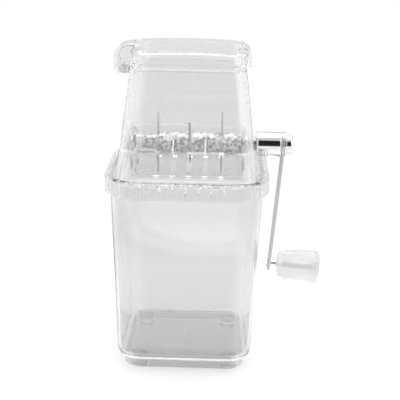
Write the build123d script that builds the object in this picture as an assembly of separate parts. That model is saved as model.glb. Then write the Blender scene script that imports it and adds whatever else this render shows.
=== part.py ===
"""Hand-cranked ice shaver: a clear bin, a clear upper housing with a slotted trough, a row of
steel blades on a crank shaft, a crank with a clear knob, and a hinged clear lid.

Millimetres, +Z up. The origin is on the table under the middle of the bin, the crank shaft
runs along X and the crank is on the +X side.
"""
from build123d import *
from math import sqrt
import os

# ---- fits and gaps ----
running_gap = 0.05        # radial gap of a turning shaft in its bush
press_gap = 0.02          # radial gap of a part pressed into its hole
seat_gap = 0.2            # between parts that lift off each other
side_gap = 0.3            # between a part and the wall beside it

# ---- bin ----
bin_bottom_width = 107.0
bin_bottom_depth = 105.0
bin_top_width = 119.0
bin_top_depth = 116.0
bin_corner_radius = 19.0  # at the floor
rim_corner_radius = 28.0
bin_wall = 2.4
bin_floor = 3.0
bin_height = 147.2        # from the underside of the floor to the rim
bin_bottom_round = 6.0
ring_height = 7.5         # base ring below the floor
ring_wall = 2.0
foot_drop = 2.0           # how far the feet stand below the base ring
foot_diameter = 12.5
foot_inset_x = 17.5       # middle of a foot from the bin's bottom edge
foot_inset_y = 15.5
foot_edge = 1.0

# ---- upper housing: skirt over the bin rim, and hopper ----
skirt_gap = 1.8           # from the bin rim to the inside of the skirt
skirt_wall = 2.2
skirt_height = 13.0
skirt_top = 2.5           # thickness of the plate that rests on the rim
skirt_edge_round = 2.0
skirt_ribs = 7            # ribs inside each side of the skirt
rib_pitch = 9.6
rib_width = 1.2
shelf_x = 9.9             # from the edge of the skirt to the foot of the hopper
shelf_y = 8.8
hopper_top_width = 87.2
hopper_top_depth = 84.4
hopper_corner_radius = 10.5
hopper_wall = 2.2
hopper_height = 81.5      # from the top of the skirt to its own rim

# ---- trough with the slotted floor ----
trough_inset_x = 5.3      # from the inside of the hopper to the trough, at the shaft
trough_inset_y = 10.1
trough_corner_radius = 6.0
trough_wall = 2.0
trough_floor = 2.2
trough_drop = 19.5        # from the shaft axis down to the underside of the slotted floor
trough_mouth_rise = 1.5   # from the shaft axis up to the trough's mouth
funnel_rise = 3.2         # from the mouth up to where the funnel meets the hopper wall
funnel_thickness = 2.0
bearing_lug_radius = 9.0
slot_side_gap = 0.9       # beside a blade
slot_end_gap = 2.1        # beyond the arc of a blade

# ---- shaft, blades and sleeves ----
shaft_rise = 17.4         # from the top of the skirt to the shaft axis
shaft_diameter = 9.2
shaft_end_diameter = 6.4
blade_count = 5
blade_pitch = 12.6
blade_row_offset = 1.0    # middle of the blade row from the middle of the bin
blade_radius = 26.0
blade_thickness = 1.8
blade_angles = (5.0, 95.0, 40.0, 95.0, 5.0)
hub_overhang = 0.5        # blade hub beyond the sleeves beside it
spacer_diameter = 16.4
spacer_rim = 0.4          # height of the rims at a spacer's ends
spacer_rim_length = 1.3
left_sleeve_wall = 1.1
collar_wall = 1.5
collar_length = 5.3
bush_wall = 0.8
bush_depth_in_boss = 2.8
boss_wall = 2.5
bearing_nut_wall = 1.7
bearing_nut_length = 1.6

# ---- crank ----
drum_diameter = 20.0
drum_length = 20.0
drum_stand_off = 2.1      # from the hopper wall to the drum
drum_edge = 0.6
arm_thickness = 2.2
arm_width = 12.0
arm_eye_diameter = 20.2
arm_lean = 4.3            # degrees that the arm leans in below its eye
arm_length = 90.6         # from the bend to the knob pin
washer_diameter = 20.2
washer_thickness = 1.6
nut_diameter = 16.3
nut_length = 4.8
nut_crown = 1.2           # metal over the end of the shaft
nut_round = 1.6

# ---- knob ----
pin_diameter = 4.6
pin_head_ledge = 1.4      # riveted head beyond the shank
pin_head_thickness = 0.9
pin_bolt_ledge = 2.2      # head inside the knob beyond the shank
pin_bolt_thickness = 2.6
pin_bolt_gap = 0.6        # from that head to the knob's end cap
knob_stand_off = 4.8      # from the arm to the knob
knob_length = 34.6
knob_nose_radius = 6.4
knob_shoulder_radius = 12.3
knob_shoulder_reach = 9.0
knob_end_radius = 13.9
knob_end_round = 3.0
knob_cap_margin = 1.4     # from the knob's rounded edge to its end cap
knob_cap_thickness = 2.4

# ---- lid ----
lid_gap = 0.3             # from the hopper's rim to the lid
lid_height = 16.5         # from the underside of the lid to the top of its crown
lid_crown_radius = 190.0  # front to back
lid_barrel_radius = 600.0  # side to side
lid_wall = 2.2
lid_edge_round = 4.0
lid_lip_wall = 1.6
lid_lip_drop = 2.3        # how far the lip reaches below the lid
lid_lip_seat = 2.4        # height of the ledge that carries the lip
lid_lip_gap = 1.0         # from the lip to the hopper wall
hinge_reach = 7.4         # hinge axis out from the hopper wall at its rim
hinge_pin_diameter = 3.0
hinge_pin_head = 0.8      # button heads: height, and width beyond the pin
hinge_lug_radius = 3.5
hinge_lug_gap = 1.5       # from the top of the lug to the hopper's rim
hinge_lug_width = 13.6
hood_side_gap = 0.5       # from the lug to the hood's cheeks
hood_wall = 2.2
hood_reach = 7.2          # from the hinge axis to the outside of the hood
hood_drop = 3.2           # from the hinge axis to the bottom of the hood
hood_round = 11.5
hood_hopper_gap = 1.8     # from the cheeks to the hopper wall
grip_width = 20.0         # hollow finger grip opposite the hinge
grip_reach = 3.8          # beyond the hopper wall at its rim
grip_drop = 1.9           # below the hopper's rim
grip_gap = 0.5            # from the grip to the hopper wall
grip_round = 10.5

# ---- sizes that follow ----
floor_height = foot_drop + ring_height
rim_height = floor_height + bin_height
housing_seat = rim_height + seat_gap
skirt_top_height = housing_seat + skirt_top
skirt_bottom_height = skirt_top_height - skirt_height
skirt_reach = skirt_gap + skirt_wall
skirt_size = (bin_top_width + 2 * skirt_reach, bin_top_depth + 2 * skirt_reach,
              rim_corner_radius + skirt_reach)
hopper_bottom_width = skirt_size[0] - 2 * shelf_x
hopper_bottom_depth = skirt_size[1] - 2 * shelf_y
hopper_rim_height = skirt_top_height + hopper_height
lid_bottom_height = hopper_rim_height + lid_gap
lid_top_height = lid_bottom_height + lid_height
shaft_height = skirt_top_height + shaft_rise
trough_bottom = shaft_height - trough_drop
trough_mouth = shaft_height + trough_mouth_rise


# ---- shapes used by several pieces ----
def between(low, high, share):
    """The value that lies a share of the way from low to high."""
    return low + (high - low) * share


def bin_section(height):
    """Width, depth and corner radius of the outside of the bin at a height above the table."""
    share = (height - floor_height) / bin_height
    return (between(bin_bottom_width, bin_top_width, share),
            between(bin_bottom_depth, bin_top_depth, share),
            between(bin_corner_radius, rim_corner_radius, share))


def hopper_section(height):
    """Width, depth and corner radius of the outside of the hopper or lid at a height."""
    share = (height - skirt_top_height) / hopper_height
    return (between(hopper_bottom_width, hopper_top_width, share),
            between(hopper_bottom_depth, hopper_top_depth, share), hopper_corner_radius)


def drawn_in(size, inset):
    """A width, depth and corner radius drawn in by an inset."""
    width, depth, radius = size
    return width - 2 * inset, depth - 2 * inset, max(radius - inset, 0.5)


def rounded(size, height, inset=0.0):
    """A rounded rectangle at a height, from a width, depth and corner radius."""
    return Pos(0, 0, height) * RectangleRounded(*drawn_in(size, inset))


def tapered(section, low, high, inset=0.0):
    """A solid that follows a tapering section between two heights."""
    return loft([rounded(section(low), low, inset), rounded(section(high), high, inset)],
                ruled=True)


def block(size, low, high, inset=0.0):
    """A straight rounded block between two heights."""
    return extrude(rounded(size, low, inset), high - low)


def box(x0, x1, y0, y1, z0, z1):
    """A box between two corners."""
    return Pos((x0 + x1) / 2, (y0 + y1) / 2, (z0 + z1) / 2) * Box(x1 - x0, y1 - y0, z1 - z0)


def bar_x(diameter, x0, x1):
    """A round bar on the shaft axis."""
    return Pos((x0 + x1) / 2, 0, shaft_height) * Rot(0, 90, 0) * Cylinder(diameter / 2, x1 - x0)


def bar_y(diameter, x, height, length):
    """A round bar along Y, centred on the middle of the bin."""
    return Pos(x, 0, height) * Rot(90, 0, 0) * Cylinder(diameter / 2, length)


def tube_x(outer, inner, x0, x1):
    """A sleeve on the shaft axis."""
    return bar_x(outer, x0, x1) - bar_x(inner, x0, x1)


def rims(solid):
    """The round edges of a bar or sleeve along X, from left to right."""
    return solid.edges().filter_by(GeomType.CIRCLE).sort_by(Axis.X)


def turned(*points):
    """A solid turned about X from a profile of (x, radius) points."""
    return revolve(make_face(Polyline(*points, close=True)), Axis.X)


# ---- places that several pieces share ----
def hopper_outside_x(height):
    """Outer face of the hopper's side wall at a height."""
    return hopper_section(height)[0] / 2


def hopper_inside_x(height):
    """Inner face of the hopper's side wall at a height."""
    return hopper_outside_x(height) - hopper_wall


trough_size = (hopper_section(shaft_height)[0] - 2 * (hopper_wall + trough_inset_x),
               hopper_section(shaft_height)[1] - 2 * (hopper_wall + trough_inset_y),
               trough_corner_radius)
trough_outside = trough_size[0] / 2
trough_inside = trough_outside - trough_wall
bush_bore = shaft_diameter + 2 * running_gap
bush_diameter = bush_bore + 2 * bush_wall
bush_hole = bush_diameter + 2 * press_gap
boss_diameter = bush_hole + 2 * boss_wall
boss_face = -(trough_outside + seat_gap)
left_bush_start = boss_face - bush_depth_in_boss
bearing_nut_diameter = bush_hole + 2 * bearing_nut_wall
bearing_nut_end = hopper_inside_x(shaft_height + bearing_nut_diameter / 2) - press_gap
drum_start = hopper_outside_x(shaft_height) + drum_stand_off
drum_end = drum_start + drum_length
hinge_x = -(hopper_outside_x(hopper_rim_height) + hinge_reach)
hinge_height = hopper_rim_height - hinge_lug_gap - hinge_lug_radius
hood_width = hinge_lug_width + 2 * (hood_side_gap + hood_wall)


# ---- bin and feet ----
def make_bin():
    """Open bin with a rounded bottom, on a low base ring."""
    outer = tapered(bin_section, floor_height, rim_height)
    outer = fillet(outer.faces().sort_by(Axis.Z)[0].edges(), bin_bottom_round)
    inside = tapered(bin_section, floor_height + bin_floor, rim_height, bin_wall)
    inside = fillet(inside.faces().sort_by(Axis.Z)[0].edges(), bin_bottom_round - bin_wall)
    ring_size = drawn_in(bin_section(floor_height), bin_bottom_round)
    ring = (block(ring_size, foot_drop, floor_height + bin_floor / 2)
            - block(ring_size, foot_drop, floor_height, ring_wall))
    return outer + ring - inside


def make_feet():
    """Four round feet that stand under the floor, inside the base ring."""
    x = bin_bottom_width / 2 - foot_inset_x
    y = bin_bottom_depth / 2 - foot_inset_y
    foot = Pos(0, 0, floor_height / 2) * Cylinder(foot_diameter / 2, floor_height)
    foot = chamfer(foot.edges().sort_by(Axis.Z)[0], foot_edge)
    return Compound(children=[Pos(side_x * x, side_y * y, 0) * foot
                              for side_x in (-1, 1) for side_y in (-1, 1)])


# ---- upper housing ----
def skirt_rib_row(rim_half, skirt_half):
    """Ribs inside the skirt's +X side, which steady it on the bin rim."""
    first = -(skirt_ribs - 1) / 2 * rib_pitch
    return [box(rim_half + side_gap, skirt_half - skirt_wall / 2,
                first + i * rib_pitch - rib_width / 2, first + i * rib_pitch + rib_width / 2,
                skirt_bottom_height + skirt_wall, housing_seat + skirt_top / 2)
            for i in range(skirt_ribs)]


def make_skirt():
    """Cap that rests on the bin rim, with its skirt and the ribs inside it."""
    skirt = block(skirt_size, skirt_bottom_height, skirt_top_height)
    skirt = fillet(skirt.faces().sort_by(Axis.Z)[-1].edges(), skirt_edge_round)
    skirt -= block(skirt_size, skirt_bottom_height, housing_seat, skirt_wall)
    rim_size = bin_section(rim_height)
    for turn in range(4):
        row = skirt_rib_row(rim_size[turn % 2] / 2, skirt_size[turn % 2] / 2)
        skirt += [Rot(0, 0, 90 * turn) * rib for rib in row]
    return skirt


def make_hinge_lug():
    """Lug on the hopper's left wall that holds the lid's hinge pin."""
    root = -(hopper_inside_x(hopper_rim_height) + hopper_wall / 2)
    half = hinge_lug_width / 2
    lug = bar_y(2 * hinge_lug_radius, hinge_x, hinge_height, hinge_lug_width)
    lug += box(hinge_x, root, -half, half, hinge_height - hinge_lug_radius,
               hinge_height + hinge_lug_radius)
    return lug - bar_y(hinge_pin_diameter + 2 * running_gap, hinge_x, hinge_height,
                       2 * hinge_lug_width)


def make_housing():
    """Skirt that fits over the bin rim, with the tapered hopper above it."""
    hopper = tapered(hopper_section, housing_seat, hopper_rim_height)
    inside = tapered(hopper_section, housing_seat, hopper_rim_height, hopper_wall)
    boss = bar_x(boss_diameter, -hopper_outside_x(shaft_height) + hopper_wall / 2, boss_face)
    housing = make_skirt() + hopper - inside + boss + make_hinge_lug()
    housing -= bar_x(bush_hole, left_bush_start, boss_face)
    return housing - bar_x(bush_hole, 0, drum_end)


# ---- trough ----
def make_funnel():
    """Shoulder that spreads from the trough's mouth to the hopper wall."""
    rim = trough_mouth + funnel_rise
    rim_size = drawn_in(hopper_section(rim), hopper_wall + side_gap)
    outside = loft([rounded(trough_size, trough_mouth - funnel_thickness),
                    rounded(rim_size, rim - funnel_thickness)], ruled=True)
    outside += block(rim_size, rim - funnel_thickness, rim)
    inside = loft([rounded(trough_size, trough_mouth, trough_wall), rounded(rim_size, rim)],
                  ruled=True)
    return outside - inside


def make_trough():
    """Trough round the lower half of the blades, with a slot for each blade in its floor."""
    trough = make_funnel()
    for part in (bar_x(boss_diameter + 2 * side_gap, -drum_end, boss_face),
                 bar_x(bearing_nut_diameter + 2 * side_gap, trough_outside, drum_end)):
        trough -= part
    trough += block(trough_size, trough_bottom, trough_mouth)
    trough += [bar_x(2 * bearing_lug_radius, -trough_outside, -trough_inside),
               bar_x(2 * bearing_lug_radius, trough_inside, trough_outside)]
    trough -= block(trough_size, trough_bottom + trough_floor, trough_mouth + funnel_rise,
                    trough_wall)
    slot_half = sqrt(blade_radius ** 2 - (trough_drop - trough_floor) ** 2) + slot_end_gap
    for i in range(blade_count):
        trough -= box(blade_left(i) - slot_side_gap, blade_right(i) + slot_side_gap,
                      -slot_half, slot_half, trough_bottom, trough_bottom + trough_floor)
    for end in (-1, 1):
        lug_hole = bar_x(bush_hole, -trough_wall, trough_wall)
        trough -= Pos(end * trough_outside, 0, 0) * lug_hole
    return trough


# ---- bearings ----
def make_left_bush():
    """Bush in the hopper's left boss and the trough's left wall."""
    return tube_x(bush_diameter, bush_bore, left_bush_start, -trough_inside)


def make_right_bush():
    """Bush through the trough's right wall and the hopper's right wall."""
    return tube_x(bush_diameter, bush_bore, trough_inside, drum_start - side_gap)


def make_bearing_nut():
    """Ring nut that holds the right bush against the inside of the hopper wall."""
    return tube_x(bearing_nut_diameter, bush_hole, bearing_nut_end - bearing_nut_length,
                  bearing_nut_end)


# ---- shaft and what turns with it ----
collar_start = -(trough_inside - side_gap)
collar_end = collar_start + collar_length
square_end = trough_inside - side_gap
washer_start = drum_end + arm_thickness
nut_start = washer_start + washer_thickness
shaft_end = nut_start + nut_length - nut_crown


def blade_left(index):
    """Left face of a blade, counted from the left."""
    middle = blade_row_offset + (index - (blade_count - 1) / 2) * blade_pitch
    return middle - blade_thickness / 2


def blade_right(index):
    """Right face of a blade, counted from the left."""
    return blade_left(index) + blade_thickness


def make_shaft():
    """Crank shaft: round in its bushes, square under the blades, thinner at the arm."""
    side = shaft_diameter / sqrt(2)
    shaft = bar_x(shaft_diameter, left_bush_start + side_gap, collar_end)
    shaft += Pos((collar_end + square_end) / 2, 0, shaft_height) * Box(
        square_end - collar_end, side, side)
    shaft += bar_x(shaft_diameter, square_end, drum_end)
    return shaft + bar_x(shaft_end_diameter, drum_end, shaft_end)


def make_blade(index):
    """One blade: a hub with two hooked points, turned to its own angle about the shaft."""
    root = spacer_diameter / 2 * 0.55
    tip = blade_radius * 0.998
    prong = make_face(Polyline((-root, 0), (-root, tip * 0.25), (-tip * 0.13, tip * 0.62),
                               (-tip * 0.04, tip), (tip * 0.03, tip * 0.98),
                               (tip * 0.11, tip * 0.76), (tip * 0.05, tip * 0.66),
                               (root, tip * 0.42), (root, 0), close=True))
    angle = blade_angles[index % len(blade_angles)]
    opening = (shaft_diameter + 2 * running_gap) / sqrt(2)
    profile = Circle(spacer_diameter / 2 + hub_overhang) + prong + Rot(0, 0, 180) * prong
    profile -= Rot(0, 0, -angle) * Rectangle(opening, opening)
    place = Pos(blade_left(index), 0, shaft_height) * Rot(0, 90, 0) * Rot(0, 0, 90)
    return place * Rot(0, 0, angle) * extrude(profile, blade_thickness)


def make_spacer(x0, x1):
    """A sleeve between two blades, with a low rim at each end."""
    spacer = bar_x(spacer_diameter, x0, x1)
    for start in (x0, x1 - spacer_rim_length):
        spacer += bar_x(spacer_diameter + 2 * spacer_rim, start, start + spacer_rim_length)
    return spacer - bar_x(bush_bore, x0, x1)


def make_drum():
    """Long collar between the housing and the arm."""
    drum = bar_x(drum_diameter, drum_start, drum_end)
    return chamfer(rims(drum), drum_edge) - bar_x(bush_bore, drum_start, drum_end)


# ---- crank arm, in a frame whose Z axis runs up the leaning arm from its bend ----
arm_frame = (Pos(drum_end + arm_thickness / 2, 0, shaft_height - arm_eye_diameter / 2)
             * Rot(0, arm_lean, 0))
pin_frame = arm_frame * Pos(0, 0, -arm_length)


def make_arm():
    """Flat crank arm: a round eye on the shaft and a strip that leans in to the knob pin."""
    eye = bar_x(arm_eye_diameter, drum_end, washer_start)
    eye += box(drum_end, washer_start, -arm_width / 2, arm_width / 2,
               shaft_height - arm_eye_diameter / 2, shaft_height)
    strip = Pos(0, 0, -arm_length / 2) * Box(arm_thickness, arm_width, arm_length)
    tip = Rot(0, 90, 0) * Cylinder(arm_width / 2, arm_thickness)
    hole = Rot(0, 90, 0) * Cylinder(pin_diameter / 2 + press_gap, 2 * arm_thickness)
    arm = eye + arm_frame * strip + pin_frame * tip - pin_frame * hole
    return arm - bar_x(shaft_end_diameter + 2 * running_gap, drum_start, shaft_end)


def make_washer():
    """Disc between the arm and the cap nut."""
    return tube_x(washer_diameter, shaft_end_diameter + 2 * running_gap, washer_start, nut_start)


def make_nut():
    """Round cap nut on the end of the shaft."""
    nut = bar_x(nut_diameter, nut_start, nut_start + nut_length)
    nut = fillet(rims(nut)[-1], nut_round)
    return nut - bar_x(shaft_end_diameter + 2 * running_gap, nut_start, shaft_end)


# ---- knob, in a frame whose X axis is the knob pin's ----
knob_start = arm_thickness / 2 + knob_stand_off
knob_end = knob_start + knob_length
cap_start = knob_end - knob_cap_thickness
bolt_end = cap_start - pin_bolt_gap
bolt_start = bolt_end - pin_bolt_thickness
bolt_radius = pin_diameter / 2 + pin_bolt_ledge
cap_radius = knob_end_radius - knob_end_round - knob_cap_margin


def make_pin():
    """Knob pin: riveted head inside the arm, plain shank, bolt head inside the knob."""
    inner = -arm_thickness / 2
    shank = pin_diameter / 2
    head = shank + pin_head_ledge
    return pin_frame * turned((inner - pin_head_thickness, 0),
                              (inner - pin_head_thickness, head - pin_head_thickness / 2),
                              (inner, head), (inner, shank), (bolt_start, shank),
                              (bolt_start, bolt_radius), (bolt_end, bolt_radius), (bolt_end, 0))


def make_knob():
    """Clear knob: a blunt nose that swells to a flat end, bored for its pin."""
    shoulder = knob_start + knob_shoulder_reach
    nose = Line((knob_start, 0), (knob_start, knob_nose_radius))
    swell = Spline((knob_start, knob_nose_radius), (shoulder, knob_shoulder_radius),
                   tangents=((0.3, 1), (1, 0.06)))
    flank = Line((shoulder, knob_shoulder_radius), (knob_end, knob_end_radius))
    back = Polyline((knob_end, knob_end_radius), (knob_end, 0), (knob_start, 0))
    knob = revolve(make_face([nose, swell, flank, back]), Axis.X)
    knob = fillet(rims(knob)[-1], knob_end_round)
    bore = pin_diameter / 2 + running_gap
    pocket = bolt_radius + side_gap
    pocket_start = bolt_start - side_gap
    knob -= turned((knob_start, 0), (knob_start, bore), (pocket_start, bore),
                   (pocket_start, pocket), (cap_start, pocket),
                   (cap_start, cap_radius + press_gap), (knob_end, cap_radius + press_gap),
                   (knob_end, 0))
    return pin_frame * knob


def make_knob_cap():
    """Disc that closes the knob's outer end."""
    return pin_frame * turned((cap_start, 0), (cap_start, cap_radius), (knob_end, cap_radius),
                              (knob_end, 0))


# ---- lid ----
def crowned(inset):
    """The inside of a barrel whose top is the lid's crown, drawn in by an inset."""
    radius = lid_crown_radius - inset
    bulge = lid_barrel_radius - inset
    half = bin_top_width
    end_radius = radius - half ** 2 / (2 * bulge)
    arc = ThreePointArc((-half, end_radius), (0, radius), (half, end_radius))
    sides = Polyline((half, end_radius), (half, 0), (-half, 0), (-half, end_radius))
    barrel = revolve(make_face([arc, sides]), Axis.X)
    return Pos(0, 0, lid_top_height - lid_crown_radius) * barrel


def lid_block(inset):
    """The lid's outer form, or its hollow when drawn in by an inset."""
    body = tapered(hopper_section, lid_bottom_height, lid_top_height + lid_wall, inset)
    body &= crowned(inset)
    return fillet(body.faces().sort_by(Axis.Z)[-1].edges(), lid_edge_round - inset / 2)


def make_lid_lip():
    """Lip that drops into the hopper, and the ledge that joins it to the lid's wall."""
    gap = hopper_wall + lid_lip_gap
    low = lid_bottom_height - lid_lip_drop
    ledge = lid_bottom_height + lid_gap
    high = ledge + lid_lip_seat
    step = tapered(hopper_section, ledge, high, lid_wall / 2)
    lip = tapered(hopper_section, low, high, gap)
    hollow = tapered(hopper_section, low, high, gap + lid_lip_wall)
    return step + lip - hollow


def make_hood():
    """Hood over the hinge lug, with two cheeks that carry the pin."""
    outside = hinge_x - hood_reach
    bottom = hinge_height - hood_drop
    half = hood_width / 2
    cheek_radius = hinge_reach - hood_hopper_gap
    wall = -(hopper_outside_x(lid_bottom_height) - lid_wall / 2)
    hood = box(outside, wall, -half, half, lid_bottom_height, lid_top_height + lid_wall)
    hood &= crowned(0)
    hood = fillet(hood.faces().sort_by(Axis.X)[0].edges().sort_by(Axis.Z)[-1], hood_round)
    hood += box(outside, hinge_x + cheek_radius, -half, half, hinge_height, lid_bottom_height)
    hood += box(outside, hinge_x, -half, half, bottom, hinge_height)
    hood += bar_y(2 * cheek_radius, hinge_x, hinge_height, hood_width) & box(
        hinge_x, 0, -half, half, bottom, hinge_height)
    inner = half - hood_wall
    cavity = box(outside + hood_wall, -hopper_outside_x(lid_bottom_height), -inner, inner,
                 bottom - hood_wall, lid_top_height + lid_wall)
    cavity &= crowned(lid_wall)
    edge = cavity.faces().sort_by(Axis.X)[0].edges().sort_by(Axis.Z)[-1]
    cavity = fillet(edge, hood_round - hood_wall)
    hole = bar_y(hinge_pin_diameter + 2 * press_gap, hinge_x, hinge_height, 2 * hood_width)
    return hood - cavity - hole


def grip_form(inset):
    """The finger grip's outer form, or its hollow when drawn in by a wall."""
    outside = hopper_outside_x(hopper_rim_height) + grip_reach - inset
    inside = outside - grip_round
    half = grip_width / 2 - inset
    form = box(inside, outside, -half, half, lid_bottom_height, lid_top_height + lid_wall)
    form &= crowned(inset)
    form = fillet(form.faces().sort_by(Axis.X)[-1].edges().sort_by(Axis.Z)[-1],
                  grip_round - inset - grip_gap)
    low = hopper_rim_height - grip_drop
    return form + box(hopper_outside_x(low) + grip_gap, outside, -half, half,
                      low - inset, lid_bottom_height)


def make_lid():
    """Crowned lid with a lip for the hopper, a hinge hood and a finger grip."""
    grip = grip_form(0) - grip_form(hood_wall)
    shell = lid_block(0) + make_hood() + grip - lid_block(lid_wall)
    return shell + make_lid_lip()


def make_hinge_pin():
    """Hinge pin with a button head at each end."""
    pin = bar_y(hinge_pin_diameter, hinge_x, hinge_height, hood_width + 2 * hinge_pin_head)
    for side in (-1, 1):
        head = bar_y(hinge_pin_diameter + 2 * hinge_pin_head, hinge_x, hinge_height,
                     hinge_pin_head)
        pin += Pos(0, side * (hood_width + hinge_pin_head) / 2, 0) * head
    return pin


# ---- all pieces by name ----
pieces = {
    "ice_bin": make_bin(),
    "bin_feet": make_feet(),
    "upper_housing": make_housing(),
    "crusher_trough": make_trough(),
    "left_bush": make_left_bush(),
    "right_bush": make_right_bush(),
    "bearing_nut": make_bearing_nut(),
    "crank_shaft": make_shaft(),
    "shaft_collar": tube_x(shaft_diameter + 2 * collar_wall, bush_bore, collar_start, collar_end),
    "left_sleeve": tube_x(bush_bore + 2 * left_sleeve_wall, bush_bore, collar_end,
                          blade_left(0)),
    "right_sleeve": make_spacer(blade_right(blade_count - 1), square_end),
    "crank_drum": make_drum(),
    "crank_arm": make_arm(),
    "arm_washer": make_washer(),
    "arm_nut": make_nut(),
    "knob_pin": make_pin(),
    "crank_knob": make_knob(),
    "knob_cap": make_knob_cap(),
    "lid": make_lid(),
    "hinge_pin": make_hinge_pin(),
}
for number in range(blade_count):
    pieces[f"blade_{number + 1}"] = make_blade(number)
for number in range(blade_count - 1):
    pieces[f"spacer_{number + 1}"] = make_spacer(blade_right(number), blade_left(number + 1))

os.makedirs("parts", exist_ok=True)
for name, piece in pieces.items():
    export_step(piece, f"parts/{name}.step")
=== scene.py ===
"""Looks of the hand-cranked ice shaver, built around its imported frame.

Lengths are millimetres in the classes and become metres when a mesh is made. The frame's
origin is on the table under the middle of the bin, the crank is on the +X side and the
front is the -Y side.
"""
from __future__ import annotations

import logging
import math
from dataclasses import dataclass
from enum import Enum
from typing import Callable, Iterable, Sequence

import bmesh
import bpy
from mathutils import Matrix, Vector

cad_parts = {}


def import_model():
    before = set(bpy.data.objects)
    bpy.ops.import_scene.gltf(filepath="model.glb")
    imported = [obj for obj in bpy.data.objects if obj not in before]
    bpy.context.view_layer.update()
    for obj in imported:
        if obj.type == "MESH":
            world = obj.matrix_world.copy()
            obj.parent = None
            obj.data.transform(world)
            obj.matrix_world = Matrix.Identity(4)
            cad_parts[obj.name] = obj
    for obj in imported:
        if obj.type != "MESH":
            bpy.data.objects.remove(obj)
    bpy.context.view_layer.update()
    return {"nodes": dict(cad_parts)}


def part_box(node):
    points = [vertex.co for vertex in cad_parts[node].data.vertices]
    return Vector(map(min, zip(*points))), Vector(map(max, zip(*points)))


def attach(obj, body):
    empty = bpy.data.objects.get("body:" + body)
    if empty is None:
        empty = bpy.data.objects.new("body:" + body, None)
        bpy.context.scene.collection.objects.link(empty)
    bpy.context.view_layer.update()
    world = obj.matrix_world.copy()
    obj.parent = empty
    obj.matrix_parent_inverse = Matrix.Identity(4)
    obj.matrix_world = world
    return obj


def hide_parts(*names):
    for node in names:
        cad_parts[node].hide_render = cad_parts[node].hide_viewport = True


LOG = logging.getLogger("ice_shaver")
Form = bmesh.types.BMesh
MM = 0.001
WHITE = (1.0, 1.0, 1.0, 1.0)
SHAFT_HEIGHT = 176.8
ON_SHAFT = Matrix.Translation((0.0, 0.0, SHAFT_HEIGHT * MM))
UPRIGHT = Matrix.Rotation(-math.pi / 2, 4, "Y")
HINGE = (-51.0, 235.9)
HINGE_BORE = 3.1
SHAFT_BORE = 9.3
BUSH_BORE = 10.94
BUSH_OUTER = 10.9
PIN_BORE = 4.7
STUD_BORE = 6.5
ARM_LENGTH = 90.6
ARM_LEAN = math.radians(4.3)
ARM_FRAME = (Matrix.Translation((74.665 * MM, 0.0, 166.7 * MM))
             @ Matrix.Rotation(ARM_LEAN, 4, "Y"))
PIN_FRAME = ARM_FRAME @ Matrix.Translation((0.0, 0.0, -ARM_LENGTH * MM))


def across(x: float, z: float) -> Matrix:
    """The place of a turned form whose axis runs along Y through a point, in mm."""
    return Matrix.Translation((x * MM, 0.0, z * MM)) @ Matrix.Rotation(math.pi / 2, 4, "Z")


# ---------------------------------------------------------------- shader maths
@dataclass(frozen=True)
class Value:
    """One output socket; arithmetic on it adds Math nodes to its tree."""

    graph: "Graph"
    socket: bpy.types.NodeSocket

    def _math(self, operation: str, first: object, second: object) -> "Value":
        """The result of one new Math node, over numbers or Values."""
        return self.graph.add("ShaderNodeMath", {0: first, 1: second}, operation=operation)

    def __add__(self, other: object) -> "Value":
        """Sum."""
        return self._math("ADD", self, other)

    def __sub__(self, other: object) -> "Value":
        """Difference."""
        return self._math("SUBTRACT", self, other)

    def __rsub__(self, other: object) -> "Value":
        """Difference from a plain number."""
        return self._math("SUBTRACT", other, self)

    def __mul__(self, other: object) -> "Value":
        """Product."""
        return self._math("MULTIPLY", self, other)

    def __truediv__(self, other: object) -> "Value":
        """Quotient."""
        return self._math("DIVIDE", self, other)

    def __pow__(self, other: object) -> "Value":
        """Power."""
        return self._math("POWER", self, other)

    def clamped(self) -> "Value":
        """The value held between 0 and 1."""
        return self._math("MAXIMUM", self._math("MINIMUM", self, 1.0), 0.0)


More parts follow.
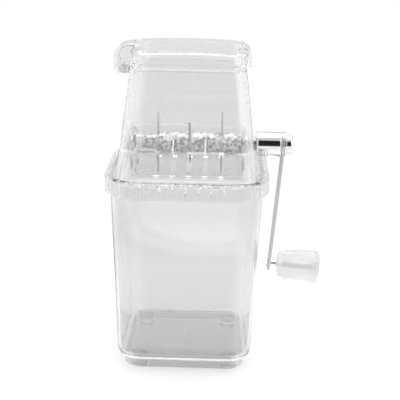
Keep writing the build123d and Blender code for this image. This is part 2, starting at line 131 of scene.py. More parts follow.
class Graph:
    """The node tree of one material or world."""

    def __init__(self, owner: bpy.types.Material | bpy.types.World) -> None:
        """Start an empty tree.

        Args:
            owner: The material or world that the tree belongs to.
        """
        owner.use_nodes = True
        self.tree = owner.node_tree
        self.tree.nodes.clear()

    def node(self, kind: str, inputs: dict | None = None, **settings: object) -> bpy.types.Node:
        """Add a node, set it up and connect it.

        Args:
            kind: The node's type.
            inputs: Numbers, colours or Values by socket name or number.
            settings: The node's own settings; stops is a ramp's list of (place, grey).

        Returns:
            The new node.
        """
        made = self.tree.nodes.new(kind)
        for name, value in settings.items():
            if name == "stops":
                self._set_stops(made.color_ramp, value)
            else:
                setattr(made, name, value)
        for name, value in (inputs or {}).items():
            if isinstance(value, Value):
                self.tree.links.new(value.socket, made.inputs[name])
            else:
                made.inputs[name].default_value = value
        return made

    def add(self, kind: str, inputs: dict | None = None, output: str | int = 0,
            **settings: object) -> Value:
        """Add a node, as node() does, and return one of its outputs by name or number."""
        return Value(self, self.node(kind, inputs, **settings).outputs[output])

    @staticmethod
    def _set_stops(ramp: bpy.types.ColorRamp, stops: Sequence[tuple[float, float]]) -> None:
        """Give a ramp its stops.

        Args:
            ramp: The ramp of a node.
            stops: Places along it, each with a grey level.
        """
        while len(ramp.elements) < len(stops):
            ramp.elements.new(1.0)
        for element, (place, grey) in zip(ramp.elements, stops):
            element.position = place
            element.color = (grey, grey, grey, 1.0)

    def object_axis(self, axis: str) -> Value:
        """One of the object's coordinates, in metres in the row frame."""
        place = self.add("ShaderNodeTexCoord", output="Object")
        return self.add("ShaderNodeSeparateXYZ", {0: place}, output=axis)

    def band(self, low: float, high: float, soft: float) -> Value:
        """1 between two heights and 0 outside them, over a soft edge, all in mm."""
        z = self.object_axis("Z")
        return (((z - low * MM) / (soft * MM)).clamped()
                * ((high * MM - z) / (soft * MM)).clamped())

    def noise(self, scale: Sequence[float], detail: float) -> Value:
        """Noise over the object's coordinates.

        Args:
            scale: Cells per metre along X, Y and Z.
            detail: Blender's detail level.

        Returns:
            The noise, from 0 to 1.
        """
        place = self.add("ShaderNodeTexCoord", output="Object")
        spread = self.add("ShaderNodeMapping", {"Vector": place, "Scale": tuple(scale)})
        return self.add("ShaderNodeTexNoise", {"Vector": spread, "Scale": 1.0, "Detail": detail})

    def mix(self, share: Value, low: object, high: object) -> Value:
        """A colour between two colours or Values, by a share from 0 to 1."""
        return self.add("ShaderNodeMix", {0: share, 6: low, 7: high}, output=2,
                        data_type="RGBA")

    def rays(self, *kinds: str) -> Value:
        """1 for rays of any of the kinds, 0 for others."""
        path = self.node("ShaderNodeLightPath")
        first, *others = (Value(self, path.outputs[f"Is {kind} Ray"]) for kind in kinds)
        return sum(others, first).clamped()

    def bump(self, height: Value, depth: float) -> Value:
        """A normal from a height, whose full range is a depth in metres."""
        return self.add("ShaderNodeBump", {"Height": height, "Distance": depth, "Strength": 1.0})

    def surface(self, shader: Value) -> None:
        """Connect a shader to the output."""
        self.node("ShaderNodeOutputMaterial", {"Surface": shader})


# ---------------------------------------------------------------- finishes
@dataclass(frozen=True)
class Corners:
    """Where the four rounded corners of a tapered shell are, in mm."""

    low: tuple[float, float, float]
    high: tuple[float, float, float]
    radius: float
    ease: float = 0.45

    def mask(self, graph: Graph) -> Value:
        """How far round a corner a place is, from 0 on the flat sides to 1."""
        share = (graph.object_axis("Z") - self.low[2] * MM) / ((self.high[2] - self.low[2]) * MM)
        sides = []
        for axis, index in (("X", 0), ("Y", 1)):
            start = (self.low[index] - self.radius) * MM
            spread = (self.high[index] - self.low[index]) * MM
            place = graph.add("ShaderNodeMath", {0: graph.object_axis(axis)}, operation="ABSOLUTE")
            reach = self.radius * self.ease * MM
            sides.append(((place - share * spread - start) / reach).clamped())
        return sides[0] * sides[1]


@dataclass(frozen=True)
class ClearPlastic:
    """Clear moulded plastic, with a tint that may change with height and in its corners.

    The tints over the height are painted shade: a ramp's stops that darken towards the bottom,
    along a sagging line. The corners take a grey of their own, a painted highlight where it is
    lighter than the walls. Milk clouds the corners, or the front of a band of heights. The
    shadow rays of the lamps pass through, as light does through thin clear walls.
    """

    name: str
    tint: float = 0.93
    painted_shade_stops: tuple[tuple[float, float], ...] = ()
    painted_shade_mm: float = 160.0
    sag: float = 0.0
    sag_middle: float = 18.0
    shade_tilt: float = 0.26
    corners: Corners | None = None
    corner_highlight_tint: float = 0.95
    milk: float = 0.12
    milky_band: tuple[float, float] | None = None
    front_slope: float = -200.0
    streaks: tuple[float, float] | None = None
    wave: float = 0.00004
    wave_scale: tuple[float, float, float] = (22.0, 22.0, 9.0)
    roughness: float = 0.0
    index: float = 1.49

    def material(self) -> bpy.types.Material:
        """Build the material."""
        made = bpy.data.materials.new(self.name)
        graph = Graph(made)
        relief = graph.noise(self.wave_scale, 1.5) * self.wave
        if self.streaks:
            relief = relief + self._streaks(graph)
        corner = self.corners.mask(graph) if self.corners else None
        shader = graph.add("ShaderNodeBsdfPrincipled", {
            "Base Color": self._tint_and_painted_light(graph, corner), "Roughness": self.roughness,
            "IOR": self.index, "Transmission Weight": 1.0, "Normal": graph.bump(relief, 1.0)})
        cloudy = self._front_band(graph) if self.milky_band else corner
        if cloudy:
            milky = graph.add("ShaderNodeBsdfTranslucent", {"Color": WHITE})
            shader = graph.add("ShaderNodeMixShader", {0: cloudy * self.milk, 1: shader, 2: milky})
        clear = graph.add("ShaderNodeBsdfTransparent", {"Color": (0.97, 0.97, 0.97, 1.0)})
        shadow = graph.add("ShaderNodeLightPath", output="Is Shadow Ray")
        graph.surface(graph.add("ShaderNodeMixShader", {0: shadow, 1: shader, 2: clear}))
        return made

    def _tint_and_painted_light(self, graph: Graph, corner: Value | None) -> Value | tuple[float, ...]:
        """The colour of the plastic, with its painted shade over the height and its painted corner
        highlight.
        """
        tint = (self.tint, self.tint, self.tint, 1.0)
        # Painted shade: the tint darkens towards the bottom, along a ramp over the height.
        if self.painted_shade_stops:
            aside = graph.object_axis("X") - self.sag_middle * MM
            tilted = graph.object_axis("Z") + graph.object_axis("Y") * self.shade_tilt
            height = tilted * (1.0 - aside * aside * self.sag) / (self.painted_shade_mm * MM)
            tint = graph.add("ShaderNodeValToRGB", {0: height}, stops=self.painted_shade_stops)
        # Painted highlight: the corners are mixed towards a grey of their own, mostly lighter than
        # the walls.
        if corner:
            tint = graph.mix(corner, tint, (*(self.corner_highlight_tint,) * 3, 1.0))
        return tint

    def _front_band(self, graph: Graph) -> Value:
        """The front half of a band of heights, from 0 outside it to 1."""
        front = (graph.object_axis("Y") * self.front_slope).clamped()
        return front * graph.band(*self.milky_band, 0.3)

    def _streaks(self, graph: Graph) -> Value:
        """Upright draw marks in a band of heights, as a height in metres."""
        return graph.noise((600.0, 600.0, 12.0), 2.0) * graph.band(*self.streaks, 1.0) * 0.001


@dataclass(frozen=True)
class Metal:
    """Metal with fine marks drawn out along one direction, and slow stains; on the sleeves, painted
    dark reflections.
    """

    name: str
    grey: float
    roughness: float
    mark_scale: tuple[float, float, float]
    mark_depth: float = 0.00002
    stain_and_reflection: float = 0.12
    stain_and_reflection_edge: float = 1.0
    stain_and_reflection_scale: float = 120.0

    def material(self) -> bpy.types.Material:
        """Build the material."""
        made = bpy.data.materials.new(self.name)
        graph = Graph(made)
        marks = graph.noise(self.mark_scale, 3.0)
        # Slow cloudy patches darken the colour: stains, and on the sleeves painted dark
        # reflections.
        cloud = graph.noise((self.stain_and_reflection_scale,) * 3, 2.0)
        cloud = ((cloud - 0.5) * self.stain_and_reflection_edge + 0.5).clamped()
        dark, light = ((grey, grey, grey * 1.01, 1.0)
                       for grey in (self.grey * (1 - self.stain_and_reflection), self.grey))
        metal = graph.add("ShaderNodeBsdfPrincipled", {
            "Base Color": graph.mix(cloud, dark, light), "Metallic": 1.0,
            "Roughness": (marks * 0.5 + cloud * 0.5) * self.roughness + self.roughness * 0.5,
            "Normal": graph.bump(marks, self.mark_depth)})
        graph.surface(metal)
        return made


HOPPER_CORNERS = Corners((53.6, 53.2, 159.4), (43.6, 42.2, 240.9), 10.5)


class Finish(Enum):
    """Every finish on the object."""

    # The bin's tints darken towards the bottom as painted shade, and its corners carry a painted
    # highlight.
    BIN = ClearPlastic("clear_bin", painted_shade_stops=(
        (0.0, 0.55), (0.015, 0.75), (0.17, 0.77), (0.53, 0.78), (0.57, 0.865), (0.9, 0.89)),
        sag=38.0, corners=Corners((53.5, 52.5, 9.5), (59.5, 58.0, 156.7), 17.0),
        corner_highlight_tint=0.83, milk=0.03)
    # Painted highlight: the housing's corners are lighter than its walls.
    HOUSING = ClearPlastic("clear_housing", 0.865, corners=HOPPER_CORNERS, streaks=(146.0, 158.5))
    TROUGH = ClearPlastic("clear_trough", 0.92, milk=0.35, milky_band=(178.0, 182.5))
    # Painted highlight: the lid's corners are lighter than its walls.
    LID = ClearPlastic("clear_lid", 0.87, corners=HOPPER_CORNERS)
    KNOB = ClearPlastic("clear_knob", 0.8, milk=0.4, milky_band=(40.0, 110.0), wave=0.00012,
                        wave_scale=(160.0, 160.0, 160.0), roughness=0.12)
    FEET = ClearPlastic("soft_feet", 0.96, wave=0.00003, wave_scale=(900.0, 900.0, 900.0),
                        roughness=0.12)
    CHROME = Metal("chrome", 0.86, 0.05, (400.0, 60.0, 60.0), 0.000002, 0.03)
    STEEL = Metal("satin_steel", 0.62, 0.32, (60.0, 900.0, 900.0))
    ARM = Metal("arm_steel", 0.55, 0.34, (900.0, 900.0, 50.0))
    BLADE = Metal("blade_steel", 0.27, 0.28, (500.0, 500.0, 80.0))
    # Painted reflection: deep, hard-edged dark blots on the sleeves.
    SLEEVE = Metal("cast_sleeve", 0.97, 0.36, (500.0, 500.0, 500.0), 0.00008, 0.55, 5.0, 350.0)
    PIN = Metal("pin_steel", 0.97, 0.8, (900.0, 120.0, 120.0), 0.00001)

    def dress(self, thing: bpy.types.Object) -> None:
        """Give an object this finish alone; its material is built once."""
        found = bpy.data.materials.get(self.value.name)
        thing.data.materials.clear()
        thing.data.materials.append(found or self.value.material())


# ---------------------------------------------------------------- shapes
def eased(points: Sequence[tuple[float, float, float]], steps: int = 5
          ) -> list[tuple[float, float]]:
    """A path whose corners are rounded to arcs.

    Args:
        points: Corners as (across, up, radius), in mm; a radius of 0 stays sharp.
        steps: Straight pieces in each arc.

    Returns:
        The rounded path's points.
    """
    path: list[tuple[float, float]] = []
    for index, (across, up, radius) in enumerate(points):
        here = Vector((across, up))
        if radius == 0 or index in (0, len(points) - 1):
            path.append((across, up))
            continue
        before = (Vector(points[index - 1][:2]) - here).normalized()
        after = (Vector(points[index + 1][:2]) - here).normalized()
        half = before.angle(after) / 2
        centre = here + (before + after).normalized() * radius / math.sin(half)
        start = here + before * radius / math.tan(half) - centre
        sweep = math.pi - 2 * half
        turn = math.copysign(sweep, before.x * after.y - before.y * after.x) * -1
        for step in range(steps + 1):
            spoke = start.copy()
            spoke.rotate(Matrix.Rotation(turn * step / steps, 2))
            path.append(tuple(centre + spoke))
    return path


@dataclass(frozen=True)
class Section:
    """A rounded rectangle at a height, in mm."""

    width: float
    depth: float
    radius: float
    height: float = 0.0

    def at(self, inset: float, height: float) -> "Section":
        """The section drawn in by an inset, at a height."""
        return Section(self.width - 2 * inset, self.depth - 2 * inset,
                       max(self.radius - inset, 0.5), height)

    def between(self, other: "Section", share: float, height: float) -> "Section":
        """The section a share of the way to another, at a height."""
        return Section(*(start + (end - start) * share for start, end in (
            (self.width, other.width), (self.depth, other.depth),
            (self.radius, other.radius))), height)

    @staticmethod
    def _along(value: float, half: float, radius: float, new_half: float, new_radius: float
               ) -> float:
        """Where a coordinate goes when its side and its corners change."""
        straight = half - radius
        if abs(value) <= straight:
            return value * (new_half - new_radius) / straight
        share = min((abs(value) - straight) / radius, 1.0)
        return math.copysign(new_half + (share - 1) * new_radius, value)

    def carry(self, place: Vector, other: "Section") -> Vector:
        """Move a point of this section, in metres, to its place on another."""
        x = self._along(place.x / MM, self.width / 2, self.radius, other.width / 2, other.radius)
        y = self._along(place.y / MM, self.depth / 2, self.radius, other.depth / 2, other.radius)
        return Vector((x, y, other.height)) * MM


class RingLoft:
    """A shell drawn from one rounded rectangle to the next by extruding its edge."""

    corner_steps = 10
    side_cuts = 3

    def __init__(self, first: Section, rise: Callable[[Vector], float] | None = None) -> None:
        """Draw the first section.

        Args:
            first: Where the shell starts.
            rise: Height in mm that a crowned section gains at a place in mm.
        """
        self.rise = rise
        self.bm = bmesh.new()
        self.section = first
        made = bmesh.ops.create_grid(self.bm, x_segments=1, y_segments=1, size=0.5)
        size = Vector((first.width, first.depth, 1.0)) * MM
        bmesh.ops.scale(self.bm, vec=size, verts=made["verts"])
        bmesh.ops.translate(self.bm, vec=(0, 0, first.height * MM), verts=made["verts"])
        bmesh.ops.bevel(self.bm, geom=made["verts"], offset=first.radius * MM,
                        offset_type="OFFSET", segments=self.corner_steps, profile=0.5,
                        affect="VERTICES", clamp_overlap=False, material=-1)
        bmesh.ops.delete(self.bm, geom=self.bm.faces[:], context="FACES_ONLY")
        longest = max(edge.calc_length() for edge in self.bm.edges)
        straight = [edge for edge in self.bm.edges if edge.calc_length() > longest / 2]
        bmesh.ops.subdivide_edges(self.bm, edges=straight, cuts=self.side_cuts)
        if rise:
            self._crown(self.bm.verts)
        self.first = self.bm.edges[:]
        self.ring = self.first

    def _crown(self, verts: Iterable) -> None:
        """Lift points by the crown's rise."""
        for vert in verts:
            vert.co.z += self.rise(vert.co / MM) * MM

    def to(self, section: Section, crowned: bool = False) -> None:
        """Draw the shell on to another section.

        Args:
            section: Where it goes.
            crowned: Whether the section follows the crown.
        """
        drawn = bmesh.ops.extrude_edge_only(self.bm, edges=self.ring)["geom"]
        fresh = {item for item in drawn if isinstance(item, bmesh.types.BMVert)}
        self.ring = [item for item in drawn if isinstance(item, bmesh.types.BMEdge)
                     and item.verts[0] in fresh and item.verts[1] in fresh]
        for vert in fresh:
            vert.co = self.section.carry(vert.co, section)
        if crowned:
            self._crown(fresh)
        self.section = section

    def follow(self, base: Callable[[float], Section], path: Iterable[tuple[float, float]],
               crowned: bool = False) -> None:
        """Draw the shell along a path of (inset, height) off a base that changes with height."""
        for inset, height in path:
            self.to(base(height).at(inset, height), crowned)

    def cap(self, edges: list) -> None:
        """Fill one end with a flat face."""
        bmesh.ops.contextual_create(self.bm, geom=edges)


def welded(bm: Form) -> Form:
    """Merge doubles and turn the faces outwards."""
    bmesh.ops.remove_doubles(bm, verts=bm.verts[:], dist=0.001 * MM)
    bmesh.ops.recalc_face_normals(bm, faces=bm.faces[:])
    return bm


def turned(corners: Sequence[tuple[float, float, float]], place: Matrix | None = None,
           steps: int = 64) -> Form:
    """A solid spun about the X axis.

    Args:
        corners: Its outline as (along, radius, edge rounding), in mm, from end to end.
        place: Where it goes, in metres; by default on the crank shaft's axis.
        steps: Flats round the axis.

    Returns:
        The solid.
    """
    bm = bmesh.new()
    verts = [bm.verts.new(Vector((along, 0.0, radius)) * MM) for along, radius in eased(corners)]
    pairs = list(zip(verts, verts[1:]))
    if corners[0][1] > 0:
        pairs.append((verts[-1], verts[0]))
    edges = [bm.edges.new(pair) for pair in pairs]
    bmesh.ops.spin(bm, geom=verts + edges, cent=(0, 0, 0), axis=(1, 0, 0), angle=2 * math.pi,
                   steps=steps, use_merge=True)
    bmesh.ops.transform(bm, matrix=ON_SHAFT if place is None else place, verts=bm.verts[:])
    return welded(bm)


def tube(low: float, high: float, outer: float, inner: float, edge: float) -> Form:
    """A tube on the shaft's axis, with its outer edges rounded, by its diameters."""
    return turned([(low, inner / 2, 0), (low, outer / 2, edge), (high, outer / 2, edge),
                   (high, inner / 2, 0)])


def disc(low: float, high: float, diameter: float, edge: float, place: Matrix | None = None,
         steps: int = 64) -> Form:
    """A solid disc across X with rounded edges, on the shaft's axis unless it is placed."""
    radius = diameter / 2
    return turned([(low, 0, 0), (low, radius, edge), (high, radius, edge), (high, 0, 0)],
                  place, steps)


def rod(low: float, high: float, diameter: float, place: Matrix | None = None) -> Form:
    """A plain round rod along X, on the shaft's axis unless it is placed."""
    return disc(low, high, diameter, 0, place, 48)


def hinge_bore() -> Form:
    """The cutter for the hinge pin's hole."""
    return rod(-20.0, 20.0, HINGE_BORE, across(*HINGE))


def round_edges(bm: Form, edges: list, edge: float) -> None:
    """Round some edges of a form, in mm."""
    bmesh.ops.bevel(bm, geom=edges, offset=edge * MM, offset_type="OFFSET", segments=2,
                    profile=0.5, affect="EDGES", material=-1)


def block(low: Sequence[float], high: Sequence[float], edge: float = 0.0) -> Form:
    """A box.

    Args:
        low: Its lowest corner, in mm.
        high: Its highest corner, in mm.
        edge: Rounding of its edges, in mm.

    Returns:
        The box.
    """
    bm = bmesh.new()
    made = bmesh.ops.create_cube(bm, size=1.0)
    size = [top - bottom for bottom, top in zip(low, high)]
    middle = [(top + bottom) / 2 for bottom, top in zip(low, high)]
    bmesh.ops.scale(bm, vec=Vector(size) * MM, verts=made["verts"])
    bmesh.ops.translate(bm, vec=Vector(middle) * MM, verts=made["verts"])
    if edge:
        round_edges(bm, bm.edges[:], edge)
    return bm


def plate(outline: Sequence[tuple[float, float]], low: float, high: float,
          edge: float = 0.0) -> Form:
    """A plate drawn in X and Z and pulled along Y.

    Args:
        outline: Its corners as (x, z), in mm.
        low: Its lowest y, in mm.
        high: Its highest y, in mm.
        edge: Rounding of the edges round its two faces, in mm.

    Returns:
        The plate.
    """
    bm = bmesh.new()
    face = bm.faces.new([bm.verts.new(Vector((x, low, z)) * MM) for x, z in outline])
    drawn = bmesh.ops.extrude_face_region(bm, geom=[face])["geom"]
    moved = [item for item in drawn if isinstance(item, bmesh.types.BMVert)]
    bmesh.ops.translate(bm, vec=(0, (high - low) * MM, 0), verts=moved)
    bmesh.ops.recalc_face_normals(bm, faces=bm.faces[:])
    if edge:
        round_edges(bm, [item for item in bm.edges if abs(
            item.verts[0].co.y - item.verts[1].co.y) < 0.01 * MM], edge)
    return bm


def together(forms: Iterable[Form]) -> Form:
    """Gather forms that don't touch each other into one."""
    whole = bmesh.new()
    for form in forms:
        mesh = bpy.data.meshes.new("form")
        form.to_mesh(mesh)
        form.free()
        whole.from_mesh(mesh)
        bpy.data.meshes.remove(mesh)
    return whole


def linked(name: str, data: bpy.types.ID) -> bpy.types.Object:
    """A new object of the scene, made of a mesh, a lamp or a camera."""
    made = bpy.data.objects.new(name, data)
    bpy.context.scene.collection.objects.link(made)
    return made


def as_object(bm: Form, name: str) -> bpy.types.Object:
    """Make an object of a form and let the form go."""
    mesh = bpy.data.meshes.new(name)
    bm.to_mesh(mesh)
    bm.free()
    return linked(name, mesh)


def combined(main: Form, joined: Sequence[Form], cut: Sequence[Form]) -> Form:
    """Fuse forms to a form, then cut others out of it.

    Args:
        main: The form that the others change; it is used up, as they are.
        joined: Forms fused to it, in order.
        cut: Forms cut out of it, in order.

    Returns:
        The combined form.
    """
    if not joined and not cut:
        return main
    made = as_object(main, "main form")
    tools = [(as_object(form, "tool"), "UNION") for form in joined]
    tools += [(as_object(form, "tool"), "DIFFERENCE") for form in cut]
    for tool, operation in tools:
        step = made.modifiers.new(operation, "BOOLEAN")
        step.operation, step.solver, step.object = operation, "EXACT", tool
    whole = bmesh.new()
    whole.from_object(made, bpy.context.evaluated_depsgraph_get())
    for used in [made] + [tool for tool, _ in tools]:
        bpy.data.objects.remove(used)
    return whole


@dataclass
class Piece:
    """One visible piece, from its mesh to its place in the frame."""

    name: str
    body: str
    slot: str
    finish: Finish
    stands_for: tuple[str, ...] = ()

    def make(self, bm: Form, joined: Sequence[Form] = (), cut: Sequence[Form] = ()) -> None:
        """Finish the piece.

        Args:
            bm: Its main form.
            joined: Forms fused to it.
            cut: Forms cut out of it.
        """
        made = as_object(combined(bm, joined, cut), self.name)
        made.data.shade_smooth()
        made.modifiers.new("flat faces", "WEIGHTED_NORMAL").keep_sharp = True
        self.finish.dress(made)
        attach(made, self.body)
        if self.stands_for:
            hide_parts(*self.stands_for)
        LOG.info("made %s, %d faces", self.name, len(made.data.polygons))


# ---------------------------------------------------------------- the clear shells
@dataclass
class Bin:
    """Open bin on its low base ring, as one moulding."""

    bottom: Section = Section(107.0, 105.0, 19.0)
    rim: Section = Section(119.0, 116.0, 28.0)
    floor: float = 9.5
    height: float = 147.2
    wall: float = 2.4
    floor_wall: float = 3.0
    bottom_round: float = 6.0
    ring_low: float = 2.0
    ring_wall: float = 2.0
    edge: float = 0.7

    def section(self, height: float) -> Section:
        """The outside of the wall at a height."""
        share = max(height - self.floor, 0.0) / self.height
        return self.bottom.between(self.rim, share, height)

    def build(self) -> None:
        """Build the bin."""
        inside = self.floor + self.floor_wall
        rim = self.floor + self.height
        ring = self.bottom_round
        inner = ring + self.ring_wall
        path = eased([
            (self.wall + 12.0, inside, 0), (self.wall, inside, 4.6), (self.wall, rim, self.edge),
            (0, rim, self.edge), (0, self.floor, self.bottom_round - 0.3),
            (ring, self.floor, 0.3), (ring, self.ring_low, self.edge),
            (inner, self.ring_low, self.edge), (inner, self.floor, 0.4),
            (inner + 2.0, self.floor, 0)], 6)
        loft = RingLoft(self.section(inside).at(path[0][0], inside))
        loft.cap(loft.first)
        loft.follow(self.section, path[1:])
        loft.cap(loft.ring)
        gate = turned([(inside - 0.5, 0, 0), (inside - 0.5, 2.6, 0), (inside + 0.2, 2.2, 0.1),
                       (inside + 0.6, 1.0, 0.3), (inside + 0.4, 0, 0)], UPRIGHT, 32)
        Piece("bin_shell", "bin", "clear_acrylic", Finish.BIN, ("ice_bin",)).make(
            welded(loft.bm), [gate])


@dataclass
class Housing:
    """Skirt and hopper, as one moulding, with the boss, the hinge lug and the ribs."""

    skirt: Section = Section(127.0, 124.0, 32.0)
    foot: Section = Section(107.2, 106.4, 10.5)
    rim: Section = Section(87.2, 84.4, 10.5)
    skirt_low: float = 146.4
    seat: float = 156.9
    shelf: float = 159.4
    hopper_height: float = 81.5
    wall: float = 2.2
    edge: float = 0.6
    ribs_a_side: int = 7
    rib_pitch: float = 9.6
    rib_thick: float = 1.2
    boss_radius: float = 7.97
    boss_face: float = -44.17
    bush_seat: float = -46.97
    lug_radius: float = 3.5
    lug_half: float = 6.8
    lug_root: float = -42.6

    def hopper(self, height: float) -> Section:
        """The outside of the hopper wall at a height."""
        return self.foot.between(self.rim, (height - self.shelf) / self.hopper_height, height)

    def build(self) -> None:
        """Build the housing."""
        top = self.shelf + self.hopper_height
        round_top, round_foot = 1.6, 1.0
        skirt_path = eased([
            (round_top + 0.4, self.shelf, 0), (0, self.shelf, round_top),
            (0, self.skirt_low, self.edge), (self.wall, self.skirt_low, self.edge),
            (self.wall, self.seat, 0.8), (self.wall + 1.5, self.seat, 0)], 5)
        hopper_path = eased([
            (-1.2, self.seat, 0), (self.wall, self.seat, 0.5), (self.wall, top, 0.5),
            (0, top, 0.5), (0, self.shelf, round_foot), (-1.2, self.shelf, 0)], 5)
        loft = RingLoft(self.skirt.at(skirt_path[0][0], self.shelf))
        loft.follow(lambda _: self.skirt, skirt_path[1:])
        loft.follow(self.hopper, hopper_path)
        loft.follow(lambda _: self.skirt, skirt_path[:1])
        Piece("housing_shell", "upper", "clear_acrylic", Finish.HOUSING, ("upper_housing",)).make(
            welded(loft.bm), [self._ribs(), self._boss(), self._hinge_lug()],
            [rod(self.bush_seat, -40.0, BUSH_BORE), rod(45.0, 60.0, BUSH_BORE), hinge_bore()])

    def _ribs(self) -> Form:
        """Ribs inside the four sides of the skirt."""
        rows = []
        low, high, thick = self.skirt_low + 2.2, self.seat + 0.6, self.rib_thick / 2
        for turn in range(4):
            half = (self.skirt.width, self.skirt.depth)[turn % 2] / 2
            for index in range(self.ribs_a_side):
                middle = (index - self.ribs_a_side // 2) * self.rib_pitch
                rib = block((half - self.wall - 1.5, middle - thick, low),
                            (half - self.wall / 2, middle + thick, high))
                bmesh.ops.rotate(rib, cent=(0, 0, 0), verts=rib.verts[:],
                                 matrix=Matrix.Rotation(turn * math.pi / 2, 3, "Z"))
                rows.append(rib)
        return together(rows)

    def _boss(self) -> Form:
        """Boss inside the left wall that carries the far end of the shaft."""
        radius, face = self.boss_radius, self.boss_face
        return turned([(-50.4, 0, 0), (-50.4, radius, 0), (face, radius, 0.6), (face, 0, 0)])

    def _hinge_lug(self) -> Form:
        """Lug on the left wall for the lid's hinge pin."""
        x, z = HINGE
        root, radius = self.lug_root, self.lug_radius
        outline = eased([(root, z - radius, 0), (x - radius, z - radius, radius - 0.05),
                         (x - radius, z + radius, radius - 0.05), (root, z + radius, 0)], 8)
        return plate(outline, -self.lug_half, self.lug_half, 0.4)


@dataclass
class Lid:
    """Crowned lid with its lip, the hinge hood on the left and the grip on the right."""

    housing: Housing
    bottom: float = 241.2
    top: float = 257.692
    crown_radius: float = 190.0
    barrel_radius: float = 600.0
    wall: float = 2.2
    edge_round: float = 4.0
    lip_out: float = 3.2
    lip_wall: float = 1.6
    lip_low: float = 238.9
    lip_ledge: float = 243.9
    hood_half: float = 9.5
    hood_reach: float = 7.2
    hood_drop: float = 3.2
    hood_round: float = 11.5
    grip_half: float = 10.0
    grip_out: float = 47.4
    grip_low: float = 239.0
    grip_round: float = 8.0

    def crown(self, place: Vector) -> float:
        """How far the crown lies under its highest point at a place in mm, as a negative rise."""
        radius = self.crown_radius - place.x ** 2 / (2 * self.barrel_radius)
        return math.sqrt(radius ** 2 - place.y ** 2) - self.crown_radius

    def skin(self, x: float) -> float:
        """Height of the crown over the hinge's middle line at an x, in mm."""
        return self.top + self.crown(Vector((x, 0.0, 0.0)))

    def build(self) -> None:
        """Build the lid."""
        section = self.housing.hopper
        inner_top, wall = self.top - self.wall, self.wall
        rings = (38.0, 30.0, 22.0, 14.0, 8.0)
        under = eased([(rings[-1], inner_top, 0), (wall, inner_top, self.edge_round - wall / 2),
                       (wall, inner_top - 4.4, 0)])
        over = eased([(0, self.top - 6.0, 0), (0, self.top, self.edge_round),
                      (rings[-1], self.top, 0)], 7)
        lip_out, lip_in = self.lip_out, self.lip_out + self.lip_wall
        ledge, low, seat = self.lip_ledge, self.lip_low, self.bottom + 0.3
        rim = eased([(wall, ledge, 0.3), (lip_in, ledge, 0.4), (lip_in, low, 0.4),
                     (lip_out, low, 0.4), (lip_out, seat, 0.3), (wall, seat, 0),
                     (wall, self.bottom, 0.2), (0, self.bottom, 0.5),
                     (0, self.top - 12.9, 0)], 4)
        loft = RingLoft(section(inner_top).at(rings[0], inner_top), rise=self.crown)
        loft.cap(loft.first)
        loft.follow(section, [(inset, inner_top) for inset in rings[1:4]] + under, True)
        loft.follow(section, rim)
        loft.follow(section, over + [(inset, self.top) for inset in rings[3::-1]], True)
        loft.cap(loft.ring)
        Piece("lid_shell", "lid", "clear_acrylic", Finish.LID, ("lid",)).make(
            welded(loft.bm), [self._hood(), self._grip()], [hinge_bore()])

        pin = [(-10.25, 0, 0), (-10.25, 2.3, 0.35), (-9.5, 2.3, 0.1), (-9.5, 1.5, 0),
               (9.5, 1.5, 0), (9.5, 2.3, 0.1), (10.25, 2.3, 0.35), (10.25, 0, 0)]
        Piece("hinge_pin_turned", "lid", "arm_steel", Finish.PIN, ("hinge_pin",)).make(
            turned(pin, across(*HINGE)))

    def _hood(self) -> Form:
        """The hollow hood over the hinge lug."""
        x, z = HINGE
        out, low, half = x - self.hood_reach, z - self.hood_drop, self.hood_half
        outer = eased([(-40.6, self.skin(-40.6) - 0.15, 0),
                       (out, self.skin(out) - 0.15, self.hood_round),
                       (out, low, 0.5), (x + 5.6, low, 3.0), (x + 5.6, self.bottom, 0),
                       (-42.5, self.bottom, 0), (-41.2, 252.0, 0)], 12)
        hollow = eased([(-43.7, self.skin(-43.7) - 2.35, 0),
                        (out + self.wall, self.skin(out) - 2.35, self.hood_round - self.wall),
                        (out + self.wall, low - 2, 0),
                        (x + 9.0, low - 2, 0), (x + 9.0, 250.0, 0)], 12)
        return self._hollowed(outer, hollow, half, 0.35)

    def _grip(self) -> Form:
        """The hollow finger grip."""
        out, low, half = self.grip_out, self.grip_low, self.grip_half
        outer = eased([(39.0, self.skin(39.0) - 0.3, 0),
                       (out, self.skin(out) - 0.3, self.grip_round),
                       (out, low, 0.5), (44.3, low, 0), (44.3, self.bottom, 0),
                       (43.0, self.bottom + 0.3, 0), (41.6, 250.0, 0), (40.1, 254.2, 0)], 12)
        hollow = eased([(41.0, 253.2, 0), (out - self.wall, self.skin(out) - 2.6, 3.6),
                        (out - self.wall, low - 2, 0), (42.0, low - 2, 0)], 12)
        return self._hollowed(outer, hollow, half, 0.3)

    def _hollowed(self, outer: Sequence, hollow: Sequence, half: float, edge: float) -> Form:
        """A plate between -half and half, open below, with side walls of the lid's thickness."""
        inside = half - self.wall
        return combined(plate(outer, -half, half, edge), (), [plate(hollow, -inside, inside)])


